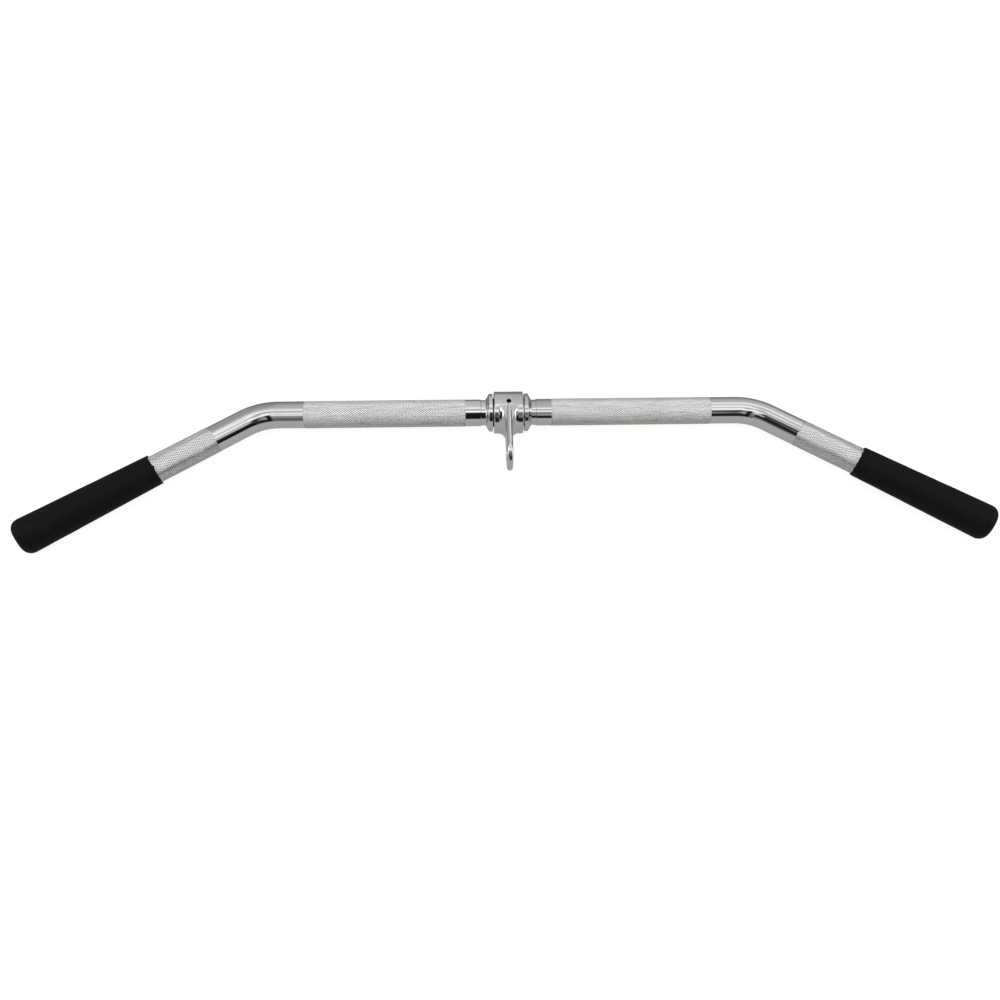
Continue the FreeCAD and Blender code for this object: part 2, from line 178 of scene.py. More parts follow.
def new_piece(name, points, faces, straight, body, material, sharp=None, hides=(), groove=None):
    """One closed mesh riding on a body. faces is a list of arrays of point numbers. They are all turned
    round where the volume that they enclose comes out negative, so that they point outwards. From
    sharp degrees on an edge stays sharp. groove is 0 on the flats and 1 on the grooves' floor."""
    points = np.asarray(points, float).reshape(-1, 3)
    fans = np.concatenate([np.stack([f[:, 0], f[:, k], f[:, k + 1]], -1)
                           for f in faces for k in range(1, f.shape[1] - 1)])
    a, b, c = (points[fans[:, k]] for k in range(3))
    if np.einsum("ij,ij->i", a, np.cross(b, c)).sum() < 0:
        faces = [f[:, ::-1] for f in faces]
    mesh = bpy.data.meshes.new(name)
    mesh.from_pydata(points.tolist(), [], [corner for f in faces for corner in f.tolist()])
    place = mesh.attributes.new("straight", "FLOAT_VECTOR", "POINT")
    place.data.foreach_set("vector", np.asarray(straight, np.float32).ravel())
    if groove is not None:
        depth = mesh.attributes.new("groove", "FLOAT", "POINT")
        depth.data.foreach_set("value", np.asarray(groove, np.float32))
    if sharp is not None:
        mesh.polygons.foreach_set("use_smooth", [True] * len(mesh.polygons))
        mesh.set_sharp_from_angle(angle=math.radians(sharp))
    mesh.update()
    piece = bpy.data.objects.new(name, mesh)
    bpy.context.scene.collection.objects.link(piece)
    mesh.materials.append(material)
    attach(piece, body)
    if hides:
        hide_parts(*hides)


def smooth_noise(angle, along, scale, seed, waves=14):
    """A sum of sines, whole turns round the tube and free lengths along it, with seeded phases."""
    rng = np.random.default_rng(seed)
    total = np.zeros(np.broadcast(angle, along).shape)
    for _ in range(waves):
        turns = rng.integers(1, 9)
        reach = along * rng.uniform(-1, 1) / scale
        total = total + np.sin(turns * angle + reach + rng.uniform(0, math.tau))
    return total / waves ** 0.5


# Materials

def linear(code):
    """A colour written as sRGB hex, as linear RGBA."""
    shares = [int(code[k:k + 2], 16) / 255 for k in (1, 3, 5)]
    return [v / 12.92 if v <= 0.04045 else ((v + 0.055) / 1.055) ** 2.4 for v in shares] + [1.0]


def add(tree, kind, inputs=None, stops=(), **settings):
    """A shader node with its settings. inputs gives each socket a value or another node's output, and
    stops gives a colour ramp its pairs of a place and a grey or hex colour."""
    node = tree.nodes.new("ShaderNode" + kind)
    for key, value in settings.items():
        setattr(node, key, value)
    for key, value in (inputs or {}).items():
        if isinstance(value, bpy.types.NodeSocket):
            tree.links.new(value, node.inputs[key])
        else:
            node.inputs[key].default_value = value
    if stops:
        elements = node.color_ramp.elements
        while len(elements) < len(stops):
            elements.new(0.5)
        for element, (place, colour) in zip(elements, stops):
            element.position = place
            element.color = linear(colour) if isinstance(colour, str) else [colour] * 3 + [1.0]
    return node


def new_material(name):
    """An empty node material and its tree."""
    material = bpy.data.materials.new(name)
    material.use_nodes = True
    material.node_tree.nodes.clear()
    return material, material.node_tree


def finish_material(tree, shader):
    """The shader becomes the material's surface."""
    add(tree, "OutputMaterial", {"Surface": shader.outputs[0]})


def chrome_plate(name, place, grain, streak_height, colour, clean, worn, grease_and_shade=None):
    """Bright chrome over steel. Polishing leaves faint streaks, and grain is the size of one in
    millimetres along each axis. Handling leaves slightly duller patches, between the roughness clean
    and worn. The last argument gives a mask, 1 where the metal is made black and dull: old grease, and
    painted shade in and under the oil hole."""
    material, tree = new_material(name)
    if place == "straight":
        where = add(tree, "Attribute", attribute_name="straight").outputs["Vector"]
    else:
        where = add(tree, "TexCoord").outputs["Object"]
    stretched = add(tree, "Mapping", {"Vector": where, "Scale": [1 / (size * MM) for size in grain]})
    streaks = add(tree, "TexNoise", {"Vector": stretched.outputs[0], "Scale": 1.0,
                                     "Detail": 3.0, "Roughness": 0.55})
    patches = add(tree, "TexNoise", {"Vector": where, "Scale": 1 / (HANDLED_PATCH * MM),
                                     "Detail": 4.0, "Roughness": 0.6})
    mixed = add(tree, "Math", {0: streaks.outputs[0], 1: patches.outputs[0]}, operation="MULTIPLY")
    rough = add(tree, "MapRange", {"Value": mixed.outputs[0], "From Min": 0.1, "From Max": 0.45,
                                   "To Min": clean, "To Max": worn}).outputs[0]
    bump = add(tree, "Bump", {"Height": streaks.outputs[0], "Distance": streak_height * MM,
                              "Strength": 1.0}).outputs[0]
    inputs = {"Base Color": linear(colour), "Metallic": 1.0, "Roughness": rough, "Normal": bump}
    # Painted shade in and under the oil hole, laid on as old grease: the mask makes the chrome black and
    # dull
    if grease_and_shade:
        mask = grease_and_shade(tree, where)
        tint = add(tree, "MixRGB", {0: mask, 1: linear(colour), 2: linear("#0B0A09")})
        dull = add(tree, "Math", {0: mask, 1: rough}, operation="MAXIMUM")
        inputs.update({"Base Color": tint.outputs[0], "Roughness": dull.outputs[0]})
    finish_material(tree, add(tree, "BsdfPrincipled", inputs))
    return material


def oil_hole(tree, where):
    """1 inside the sleeve's oil hole: on the upper side, and nearer to the hole's axis than its radius
    and a small margin, so that its wall lies inside too. The chrome there is painted black as the hole's
    shade, with old grease."""
    edge = (OIL_HOLE_RADIUS + OIL_HOLE_MARGIN) * MM
    local = add(tree, "Mapping", {"Vector": where, "Location": BAR_AXIS, "Rotation": (DROOP, 0, 0)},
                vector_type="TEXTURE")
    flat = add(tree, "VectorMath", {0: local.outputs[0], 1: (1, 1, 0)}, operation="MULTIPLY")
    reach = add(tree, "VectorMath", {0: flat.outputs[0]}, operation="LENGTH")
    near = add(tree, "Math", {0: reach.outputs["Value"], 1: edge}, operation="LESS_THAN")
    height = add(tree, "SeparateXYZ", {0: local.outputs[0]})
    upper = add(tree, "Math", {0: height.outputs["Z"], 1: 0.0}, operation="GREATER_THAN")
    return add(tree, "Math", {0: near.outputs[0], 1: upper.outputs[0]}, operation="MULTIPLY").outputs[0]


def grease_and_shade_band(tree, where):
    """1 on the spindle's middle, between the two bushes, under the oil hole: painted shade, with old grease.
    """
    along = add(tree, "SeparateXYZ", {0: where})
    side = add(tree, "Math", {0: along.outputs["X"]}, operation="ABSOLUTE")
    return add(tree, "Math", {0: side.outputs[0], 1: GREASE_AND_SHADE_HALF * MM}, operation="LESS_THAN").outputs[0]


def knurled_chrome(name, colours, metal, dull, polish, painted_shade_tone, lit_film_share):
    """Chrome over rolled knurling, which glitters in small points: satin flats, flanks and dark grooves
    in three colours. metal and dull give the flats' and the grooves' share of bare metal and roughness.
    A pale film of dried polish lies over them in streaks along the tube, and fills the grooves as far as
    polish says (0 to 1). Light and shade are painted on: the side above the front, toward the lamp, stays
    bright, with the last argument as the share of its metal that a pale film hides there, and the one
    before it is the colour of the painted shade that tones the rest down."""
    material, tree = new_material(name)
    where = add(tree, "Attribute", attribute_name="straight").outputs["Vector"]
    depth = add(tree, "Attribute", attribute_name="groove").outputs["Fac"]
    stretched = add(tree, "Mapping", {"Vector": where,
                                      "Scale": [1 / (size * MM) for size in POLISH_STREAK]})
    streaks = add(tree, "TexNoise", {"Vector": stretched.outputs[0], "Scale": 1.0,
                                     "Detail": 3.0, "Roughness": 0.7}).outputs[0]
    spread = add(tree, "MapRange", {"Value": streaks, "From Min": 0.4, "From Max": 0.6,
                                    "To Max": polish}).outputs[0]
    film = add(tree, "Math", {0: depth, 1: spread}, operation="MAXIMUM").outputs[0]
    bare = add(tree, "Math", {0: 1.0, 1: spread}, operation="SUBTRACT")
    shade = add(tree, "Math", {0: depth, 1: bare.outputs[0]}, operation="MULTIPLY")
    # Painted light and shade: the knurl is lighter on the side above the front and darker round the rest
    facing = add(tree, "VectorMath", {0: where, 1: LIT_SIDE}, operation="DOT_PRODUCT")
    ragged = add(tree, "Math", {0: streaks, 1: LIT_SIDE_RAGGED, 2: facing.outputs["Value"]},
                 operation="MULTIPLY_ADD")
    lit_weight = add(tree, "MapRange", {"Value": ragged.outputs[0], "From Min": LIT_SIDE_EDGE[0],
                                   "From Max": LIT_SIDE_EDGE[1]}).outputs[0]
    steel = add(tree, "ValToRGB", {0: shade.outputs[0]}, stops=list(zip((0.0, 0.4, 1.0), colours)))
    # Painted shade's colour on the rest of the knurl, white on its painted lit side
    clean = add(tree, "ValToRGB", {0: lit_weight}, stops=[(0, painted_shade_tone), (1, "#FFFFFF")])
    colour = add(tree, "MixRGB", {0: 1.0, 1: steel.outputs[0], 2: clean.outputs[0]},
                 blend_type="MULTIPLY")
    pure = add(tree, "MapRange", {"Value": film, "To Min": metal[0], "To Max": metal[1]})
    share = add(tree, "Math", {0: lit_weight, 1: -lit_film_share, 2: pure.outputs[0]}, operation="MULTIPLY_ADD")
    rough = add(tree, "MapRange", {"Value": film, "To Min": dull[0], "To Max": dull[1]})
    grit = add(tree, "TexNoise", {"Vector": where, "Scale": 1 / (0.5 * MM), "Detail": 3.0})
    bump = add(tree, "Bump", {"Height": grit.outputs[0], "Distance": 0.008 * MM, "Strength": 1.0})
    shader = add(tree, "BsdfPrincipled", {"Base Color": colour.outputs[0], "Metallic": share.outputs[0],
                                          "Roughness": rough.outputs[0], "Normal": bump.outputs[0]})
    finish_material(tree, shader)
    return material


def grip_rubber():
    """Moulded black rubber: matte, with a fine leathery grain and pale rubbed places."""
    material, tree = new_material("moulded black rubber")
    where = add(tree, "Attribute", attribute_name="straight").outputs["Vector"]
    grain = add(tree, "TexNoise", {"Vector": where, "Scale": 1 / (0.9 * MM),
                                   "Detail": 4.0, "Roughness": 0.6})
    scuffs = add(tree, "TexNoise", {"Vector": where, "Scale": 1 / (RUBBED_PLACE * MM),
                                    "Detail": 5.0, "Roughness": 0.65}).outputs[0]
    colour = add(tree, "ValToRGB", {0: scuffs},
                 stops=[(0.35, "#060607"), (0.58, "#09090A"), (0.75, "#141416")])
    rough = add(tree, "MapRange", {"Value": scuffs, "To Min": 0.55, "To Max": 0.75})
    bump = add(tree, "Bump", {"Height": grain.outputs[0], "Distance": 0.05 * MM, "Strength": 1.0})
    shader = add(tree, "BsdfPrincipled", {"Base Color": colour.outputs[0], "IOR": 1.5,
                                          "Roughness": rough.outputs[0], "Specular IOR Level": 0.15,
                                          "Normal": bump.outputs[0]})
    finish_material(tree, shader)
    return material


def plain_material(name, dark, light, grain, metallic, roughness):
    """A small piece's finish: one colour that drifts a little, over a fine grain in millimetres."""
    material, tree = new_material(name)
    where = add(tree, "TexCoord").outputs["Object"]
    noise = add(tree, "TexNoise", {"Vector": where, "Scale": 1 / (grain * MM), "Detail": 3.0}).outputs[0]
    colour = add(tree, "ValToRGB", {0: noise}, stops=[(0.3, dark), (0.7, light)])
    rough = add(tree, "MapRange", {"Value": noise, "To Min": roughness - 0.08, "To Max": roughness + 0.08})
    bump = add(tree, "Bump", {"Height": noise, "Distance": 0.01 * MM, "Strength": 1.0})
    shader = add(tree, "BsdfPrincipled", {"Base Color": colour.outputs[0], "Metallic": metallic,
                                          "Roughness": rough.outputs[0], "Normal": bump.outputs[0]})
    finish_material(tree, shader)
    return material


# Tubes

def make_tube(side_name, side, material):
    """A closed section, outside then bore, carried along the tube's axis. Under the knurled stretches
    the outside sinks to the core on which the knurled sleeves sit. A square of the grid at the back
    gives way to rings that run from its edge to the round pin hole, and down to its floor."""
    end = CORNER + ARM_LENGTH - GRIP_END_WALL
    knurl_first, knurl_last = KNURL_START - TUBE_START - KNURL_LAND, KNURL_END - TUBE_START + KNURL_LAND
    knurl_arm = CORNER + ARM_KNURL_START - KNURL_LAND
    cells, half = 10, 5
    hole_rows = PIN_PLACE + np.linspace(-PIN_SQUARE_HALF, PIN_SQUARE_HALF, cells + 1)
    bend = np.linspace(BEND_FIRST, BEND_LAST, 49)
    outside = [(0, TUBE_RADIUS - TUBE_CHAMFER), (TUBE_CHAMFER, TUBE_RADIUS)]
    outside += [(s, TUBE_RADIUS) for s in hole_rows]
    outside += [(knurl_first, TUBE_RADIUS), (knurl_first, KNURL_CORE)]
    outside += [(knurl_last, KNURL_CORE), (knurl_last, TUBE_RADIUS)]
    outside += [(s, TUBE_RADIUS) for s in bend]
    outside += [(knurl_arm, TUBE_RADIUS), (knurl_arm, KNURL_CORE), (end, KNURL_CORE)]
    inside = [(end, TUBE_BORE)] + [(s, TUBE_BORE) for s in bend[::-3]] + [(0, TUBE_BORE)]
    along, radius = np.array(outside + inside).T
    columns = 96
    angle = np.arange(columns) * math.tau / columns
    along_grid, angle_grid = np.meshgrid(along, angle, indexing="ij")
    radius_grid = np.broadcast_to(radius[:, None], along_grid.shape)
    faces = quads(len(along), columns, wrap_rows=True)

    # The square of cells round the pin hole, half of them either side of the back
    first = 2
    last = first + cells
    row, column = np.divmod(np.arange(len(faces)), columns)
    cut = (row >= first) & (row < last) & ((column < half) | (column >= columns - half))
    edge = [(first, k) for k in range(-half, half)] + [(first + k, half) for k in range(cells)]
    edge += [(last, k) for k in range(half, -half, -1)] + [(first + k, -half) for k in range(cells, 0, -1)]
    edge = np.array(edge)
    edge_along, edge_arc = along[edge[:, 0]], edge[:, 1] * math.tau / columns * TUBE_RADIUS
    bearing = np.arctan2(edge_arc, edge_along - PIN_PLACE)
    rim_along = PIN_PLACE + PIN_HOLE_RADIUS * np.cos(bearing)
    rim_arc = PIN_HOLE_RADIUS * np.sin(bearing)

    # Each ring's share of the way from the hole's rim to the square, its depth, and its width
    share = np.array([0.7, 0.4, 0.15, 0.03, 0.0, 0.0, 0.0])[:, None]
    sink = np.array([0.0, 0.0, 0.0, 0.0, 0.15, PIN_HOLE_DEPTH, PIN_HOLE_DEPTH])[:, None]
    spread = np.array([1.0, 1.0, 1.0, 1.0, 1.0, 1.0, 0.0])[:, None]
    ring_along = (PIN_PLACE + (rim_along - PIN_PLACE) * spread) * (1 - share) + edge_along * share
    ring_arc = rim_arc * spread * (1 - share) + edge_arc * share
    ring_radius = np.broadcast_to(TUBE_RADIUS - sink, ring_along.shape)

    count = len(along) * columns
    ring_numbers = count + np.arange(ring_along.size).reshape(ring_along.shape)
    ring_numbers[-1] = ring_numbers[-1, 0]
    edge_numbers = edge[:, 0] * columns + edge[:, 1] % columns
    numbers = np.vstack([edge_numbers, ring_numbers])
    following = np.roll(numbers, -1, 1)
    walls = np.stack([numbers[:-1], following[:-1], following[1:], numbers[1:]], -1)
    rings = walls[:-1].reshape(-1, 4)
    floor = walls[-1][:, [0, 1, 3]]

    s_all = np.concatenate([along_grid.ravel(), ring_along.ravel()])
    a_all = np.concatenate([angle_grid.ravel(), (ring_arc / TUBE_RADIUS).ravel()])
    r_all = np.concatenate([radius_grid.ravel(), ring_radius.ravel()])
    keep = s_all.size - (len(edge) - 1)
    s_all, a_all, r_all = s_all[:keep], a_all[:keep], r_all[:keep]
    new_piece("tube_" + side_name, bar_point(side, s_all, a_all, r_all), [faces[~cut], rings, floor],
              straight_place(s_all, a_all, r_all), "bar", material, sharp=32,
              hides=["arm_tube_" + side_name])


def make_knurl(name, side, start, finish, material):
    """Four-sided pyramids with flat tops, in two interleaved lattices: every crossing of the grooves is
    a low point, and each diamond's flat stands a share of the way from its middle to its corners.
    Half diamonds, a narrow land and a core close both ends."""
    rows = max(int(round((finish - start) / KNURL_PITCH)), 2)
    pitch = (finish - start) / rows
    step = math.tau / KNURL_COUNT
    n = KNURL_COUNT
    j = np.arange(n)[None, :]
    i_a, i_b = np.arange(rows)[:, None], np.arange(rows + 1)[:, None]

    def lattice(i, shift, turn):
        """Length and angle of the points in rows i, shifted by shares of the pitch and of the step."""
        s, a = np.broadcast_arrays(start + (i + shift) * pitch, (j + turn) * step)
        return s.ravel(), a.ravel()

    a_s, a_t = lattice(i_a, 0.5, 0.0)
    b_s, b_t = lattice(i_b, 0.0, 0.5)
    a_number = np.arange(rows * n).reshape(rows, n)
    b_number = a_number.size + np.arange((rows + 1) * n).reshape(rows + 1, n)
    b_inner, b_before = b_number[1:-1], np.roll(b_number, 1, 1)[1:-1]
    odd = np.stack([b_number[:-1], a_number, b_number[1:], np.roll(a_number, -1, 1)], -1).reshape(-1, 4)
    even = np.stack([a_number[:-1], b_before, a_number[1:], b_inner], -1).reshape(-1, 4)
    corners = np.concatenate([odd, even])
    middle_s, middle_t = np.concatenate([lattice(i_a, 0.5, 0.5), lattice(i_b[1:-1], 0.0, 0.0)], 1)
    rng = np.random.default_rng(int(start * 10) + (side > 0))
    flat = KNURL_FLAT_SHARE * rng.uniform(*FLAT_VARIES, middle_s.size)[:, None]
    top_s = middle_s[:, None] + flat * pitch / 2 * np.array([-1, 0, 1, 0])
    top_t = middle_t[:, None] + flat * step / 2 * np.array([0, -1, 0, 1])
    height = KNURL_RADIUS + rng.uniform(-FLAT_UNEVEN, 0.0, middle_s.size)
    top_r = np.broadcast_to(height[:, None], top_s.shape)
    first_top = b_number[-1, -1] + 1
    top_number = first_top + np.arange(top_s.size).reshape(-1, 4)
    around = np.roll(np.arange(4), -1)
    flanks = np.stack([corners, corners[:, around], top_number[:, around], top_number], -1).reshape(-1, 4)

    # Both ends: half diamonds, land and core, as five rings of points
    s_list = [a_s, b_s, top_s.ravel()]
    t_list = [a_t, b_t, top_t.ravel()]
    r_list = [np.full(a_s.size, KNURL_FLOOR), np.full(b_s.size, KNURL_FLOOR), top_r.ravel()]
    faces3, faces4 = [], [flanks, top_number]
    rings = []
    count = first_top + top_s.size
    for edge, outward, place in ((0, -1, start), (-1, 1, finish)):
        peak = count + np.arange(n)
        land_mid, land_low = peak + n, peak + 2 * n
        core_mid, core_low = peak + 3 * n, peak + 4 * n
        inset, land = -END_PEAK_SHARE * pitch * outward, KNURL_LAND * outward
        for shift, turn, r in ((inset, 0.0, KNURL_RADIUS - END_PEAK_DROP),
                               (land, 0.0, TUBE_RADIUS + LAND_RISE), (land, 0.5, TUBE_RADIUS + LAND_RISE),
                               (land, 0.0, KNURL_CORE), (land, 0.5, KNURL_CORE)):
            s_list.append(np.full(n, place + shift))
            t_list.append((np.arange(n) + turn) * step)
            r_list.append(np.full(n, r))
        a_row, b_row = a_number[edge], b_number[edge]
        b_back, low_back = np.roll(b_row, 1), np.roll(land_low, 1)
        thirds = [np.stack([b_back, a_row, peak], -1), np.stack([a_row, b_row, peak], -1)]
        fours = [np.stack([low_back, b_back, peak, land_mid], -1),
                 np.stack([land_mid, peak, b_row, land_low], -1)]
        if outward > 0:
            thirds, fours = [f[:, ::-1] for f in thirds], [f[:, ::-1] for f in fours]
        faces3 += thirds
        faces4 += fours
        rings.append([np.stack(pair, -1).ravel() for pair in ((land_mid, land_low), (core_mid, core_low))])
        count += 5 * n
    (land_0, core_0), (land_1, core_1) = rings
    for left, right in ((core_0, land_0), (core_1, core_0), (land_1, core_1)):
        faces4.append(np.stack([left, right, np.roll(right, -1), np.roll(left, -1)], -1))
    s_all, t_all, r_all = (np.concatenate(part) for part in (s_list, t_list, r_list))
    groove = np.clip((KNURL_RADIUS - r_all) / (KNURL_RADIUS - KNURL_FLOOR), 0, 1)
    new_piece(name, bar_point(side, s_all, t_all, r_all), faces3 + faces4,
              straight_place(s_all, t_all, r_all), "bar", material, groove=groove)


# Handgrips

def make_grip(side_name, side, material):
    """A profile of radius against length, turned round the arm: a quarter circle at the mouth's lip, a
    radius that grows evenly, a quarter circle at the closed end, and its flat face. The mouth's edge
    wanders, more on the left grip, and that fades along the grip by exp(-length / fade). The skin is a
    few hundredths of a millimetre uneven."""
    mouth, end = GRIP_START, ARM_LENGTH
    taper = (GRIP_END_RADIUS - GRIP_MOUTH_RADIUS) / (end - mouth)
    quarter = np.linspace(0, math.pi / 2, 9)
    bore_s = np.array([mouth + GRIP_BORE_DEPTH, mouth + 2.0, mouth])
    lip_s = mouth + GRIP_MOUTH_ROUND * (1 - np.cos(quarter))
    lip_r = GRIP_MOUTH_RADIUS - GRIP_MOUTH_ROUND * (1 - np.sin(quarter))
    body_s = np.linspace(mouth + GRIP_MOUTH_ROUND, end - GRIP_END_ROUND, 90)[1:-1]
    body_r = GRIP_MOUTH_RADIUS + taper * (body_s - mouth)
    round_s = end - GRIP_END_ROUND * (1 - np.sin(quarter))
    round_r = GRIP_END_RADIUS - GRIP_END_ROUND * (1 - np.cos(quarter)) - taper * (end - round_s)
    face_r = round_r[-1] * np.array([0.8, 0.6, 0.4, 0.2])
    along = np.concatenate([bore_s, lip_s, body_s, round_s, np.full(4, end)])
    radius = np.concatenate([np.full(3, KNURL_RADIUS), lip_r, body_r, round_r, face_r])
    columns = 160
    angle = np.arange(columns) * math.tau / columns
    along_grid, angle_grid = np.meshgrid(along, angle, indexing="ij")
    radius_grid = np.broadcast_to(radius[:, None], along_grid.shape)
    seed = 5 + int(side > 0)
    wander = MOUTH_WANDER[side_name] * smooth_noise(angle_grid * 2, np.zeros_like(along_grid), 1.0, seed)
    skin = SKIN_UNEVEN * smooth_noise(angle_grid, along_grid, 4.0, seed + 6, waves=24)
    shape_s = along_grid + wander * np.exp(-(along_grid - mouth) / WANDER_FADE)
    shape_r = radius_grid + np.where(radius_grid > KNURL_RADIUS, skin, 0)
    rows = len(along)
    pole, plug = rows * columns, rows * columns + 1
    last = pole - columns + np.arange(columns)
    first = np.arange(columns)
    cap = np.stack([last, np.roll(last, -1), np.full(columns, pole)], -1)
    back = np.stack([np.roll(first, -1), first, np.full(columns, plug)], -1)
    s_all = np.concatenate([shape_s.ravel(), [end, bore_s[0]]]) + CORNER
    a_all = np.concatenate([angle_grid.ravel(), [0, 0]])
    r_all = np.concatenate([shape_r.ravel(), [0, 0]])
    new_piece("handgrip_" + side_name, bar_point(side, s_all, a_all, r_all),
              [quads(rows, columns), cap, back], straight_place(s_all, a_all, r_all),
              "bar", material, sharp=50, hides=["grip_" + side_name])


# The studio

# Each strip of the room is a list of (degrees, brightness), over the half circle from
# the horizon in front (0) over the top (90) to the horizon behind (180). Polished metal shows the
# strips as its bands and lines. MIDDLE is straight across from the bar. The others stand to the left
# and right of it, and ENDS at both far ends, which only the knurl's flanks and the cones show.
MIDDLE = [(0, .1), (5, .008), (48, .008), (53, .06), (57.5, .3), (59.5, 1.25), (68, 1.2), (73, .85),
          (77, .42), (81, .41), (86, .62), (90, .9), (93, 1.1), (99, 1.1), (104, .76), (110, .66),
          (126, .62), (148, .55), (161, .58), (172, .45), (178, .36)]
LEFT = [(0, .18), (14, .11), (23, .16), (32, .29), (42, .31), (46, .6), (49, .95), (57, .8), (65, 1.0),
        (73, .85), (77, .5), (82, .45), (88, .8), (93, 1.0), (99, 1.0), (105, .72), (118, .52),
        (148, .45), (170, .3)]
FAR_LEFT = [(0, .36), (8, .3), (13, .2), (19, .08), (25, .015), (31, .008), (37, .03), (43, .3),
            (49, .6), (54, .2), (58, .05), (66, .06), (70, .3), (74, .6), (79, .41), (86, .42),
            (92, .54), (117, .42), (138, .36), (166, .28), (178, .2)]
END_LEFT = [(0, .38), (9, .34), (14, .2), (19, .06), (25, .02), (58, .015), (64, 1.2), (74, 1.9),
            (90, 1.6), (100, .7), (116, .45), (138, .4), (150, .34), (160, .33), (175, .42)]
NEAR_RIGHT = [(0, .1), (8, .01), (19, .015), (24, .1), (29, .35), (36, .4), (40, .25), (46, .2),
              (50, .25), (55, .5), (60, 1.2), (66, 1.0), (71, .5), (76, .4), (80, .6), (84, 1.1),
              (89, 1.1), (93, .75), (100, .52), (110, .5), (130, .48), (150, .44), (165, .36), (178, .3)]
HIGH_RIGHT = [(60, 1.2), (66, 1.2), (70, .9), (76, .6), (80, .6), (84, 1.1), (89, 1.15), (97, .75),
              (110, .7), (114, 1.0), (121, 1.05), (125, .8), (131, .55), (152, .48), (165, .42), (178, .34)]
RIGHT = [(0, .12), (8, .008), (22, .008), (26, .08), (30, .2), (34, .34), (37, .22), (41, .1),
         (52, .1), (55, .3), (60, 1.25)] + HIGH_RIGHT[1:]
BEND_RIGHT = [(0, .12), (8, .02), (20, .012), (26, .06), (30, .1), (34, .05), (38, .012),
              (45, .015), (50, .12), (54, .4)] + HIGH_RIGHT
FAR_RIGHT = [(0, .05), (6, .008), (18, .006), (30, .012), (37, .09), (43, .45), (48, .75), (53, .7),
             (57, .1), (60, .03), (64, .3), (67, .6), (74, .9), (78, .4), (87, .4), (96, .6),
             (109, .56), (113, 1.1), (116, 1.1), (122, .8), (134, .56), (145, .77), (157, .49), (170, .33)]
END_RIGHT = [(0, .1), (6, .01), (58, .01), (64, 1.2), (74, 1.9), (90, 1.6), (100, .7), (116, .35),
             (132, .15), (180, .1)]
ENDS = [(0, .3), (18, 1.5), (66, 1.8), (88, 1.8), (104, .4), (124, .2), (180, .1)]

# Where along X, as a part of the room's half width, a strip starts and where it is full
STRIPS = [(LEFT, -.05, -.1), (FAR_LEFT, -.185, -.21), (END_LEFT, -.34, -.4), (NEAR_RIGHT, .03, .07),
          (RIGHT, .15, .2), (BEND_RIGHT, .25, .28), (FAR_RIGHT, .36, .47), (END_RIGHT, .56, .68)]
ENDS_START, ENDS_FULL = .82, .9
ROOM_STRENGTH = 1.25

# The floor that polished metal sees, in metres: its bright front ends at a line behind the bar that
# comes forward beside the bend as the arms do, and fades over a few centimetres into a painted shadow
# behind the bar
FLOOR_HALF = 6.0
LINE_BEND, LINE_SLOPE = 0.25, 0.65
LINE_FRONT, LINE_BACK = 0.045, 0.075
FRONT_GLOW, SHADOW_GLOW = 0.35, 0.08
CAMERA_GLOW = 0.9


def make_floor():
    """A pale floor with the bar's soft shadow. Its own light lifts it to white for the camera, and for
    metal and clear things to the grey that the bar shows: pale in front of it, and darker behind it as a
    painted shadow along the bar."""
    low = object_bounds()[0].z
    corners = [(x * FLOOR_HALF, y * FLOOR_HALF, low) for x, y in ((-1, -1), (1, -1), (1, 1), (-1, 1))]
    mesh = bpy.data.meshes.new("floor")
    mesh.from_pydata(corners, [], [(0, 1, 2, 3)])
    floor = bpy.data.objects.new("floor", mesh)
    bpy.context.scene.collection.objects.link(floor)
    material, tree = new_material("white studio floor")
    seen = add(tree, "LightPath").outputs
    diffuse = add(tree, "BsdfDiffuse", {"Color": linear("#707070")})
    mirrored = add(tree, "Math", {0: seen["Is Glossy Ray"], 1: seen["Is Transmission Ray"]},
                   operation="MAXIMUM")
    place = add(tree, "SeparateXYZ", {0: add(tree, "TexCoord").outputs["Object"]}).outputs
    aside = add(tree, "Math", {0: place["X"]}, operation="ABSOLUTE")
    arm = add(tree, "Math", {0: aside.outputs[0], 1: LINE_BEND}, operation="SUBTRACT", use_clamp=True)
    back = add(tree, "Math", {0: arm.outputs[0], 1: LINE_SLOPE, 2: place["Y"]}, operation="MULTIPLY_ADD")
    # Painted shadow: the glow that metal sees drops behind a line that follows the bar
    tone = add(tree, "MapRange", {"Value": back.outputs[0], "From Min": LINE_FRONT, "From Max": LINE_BACK,
                                  "To Min": FRONT_GLOW, "To Max": SHADOW_GLOW})
    dim = add(tree, "Math", {0: mirrored.outputs[0], 1: tone.outputs[0]}, operation="MULTIPLY")
    lift = add(tree, "Math", {0: seen["Is Camera Ray"], 1: CAMERA_GLOW, 2: dim.outputs[0]},
               operation="MULTIPLY_ADD")
    glow = add(tree, "Emission", {"Color": linear("#FFFFFF"), "Strength": lift.outputs[0]})
    finish_material(tree, add(tree, "AddShader", {0: diffuse.outputs[0], 1: glow.outputs[0]}))
    mesh.materials.append(material)


def strip_light(tree, share, strip):
    """A strip's brightness, from the share of the half circle that a direction has gone."""
    stops = [(degrees / 180, grey) for degrees, grey in strip]
    return add(tree, "ValToRGB", {0: share}, stops=stops).outputs[0]


def blend_in(tree, before, after, value, start, full):
    """Change from one colour to another as value goes from start to full."""
    step = add(tree, "MapRange", {"Value": value, "From Min": start, "From Max": full})
    return add(tree, "MixRGB", {0: step.outputs[0], 1: before, 2: after}).outputs[0]


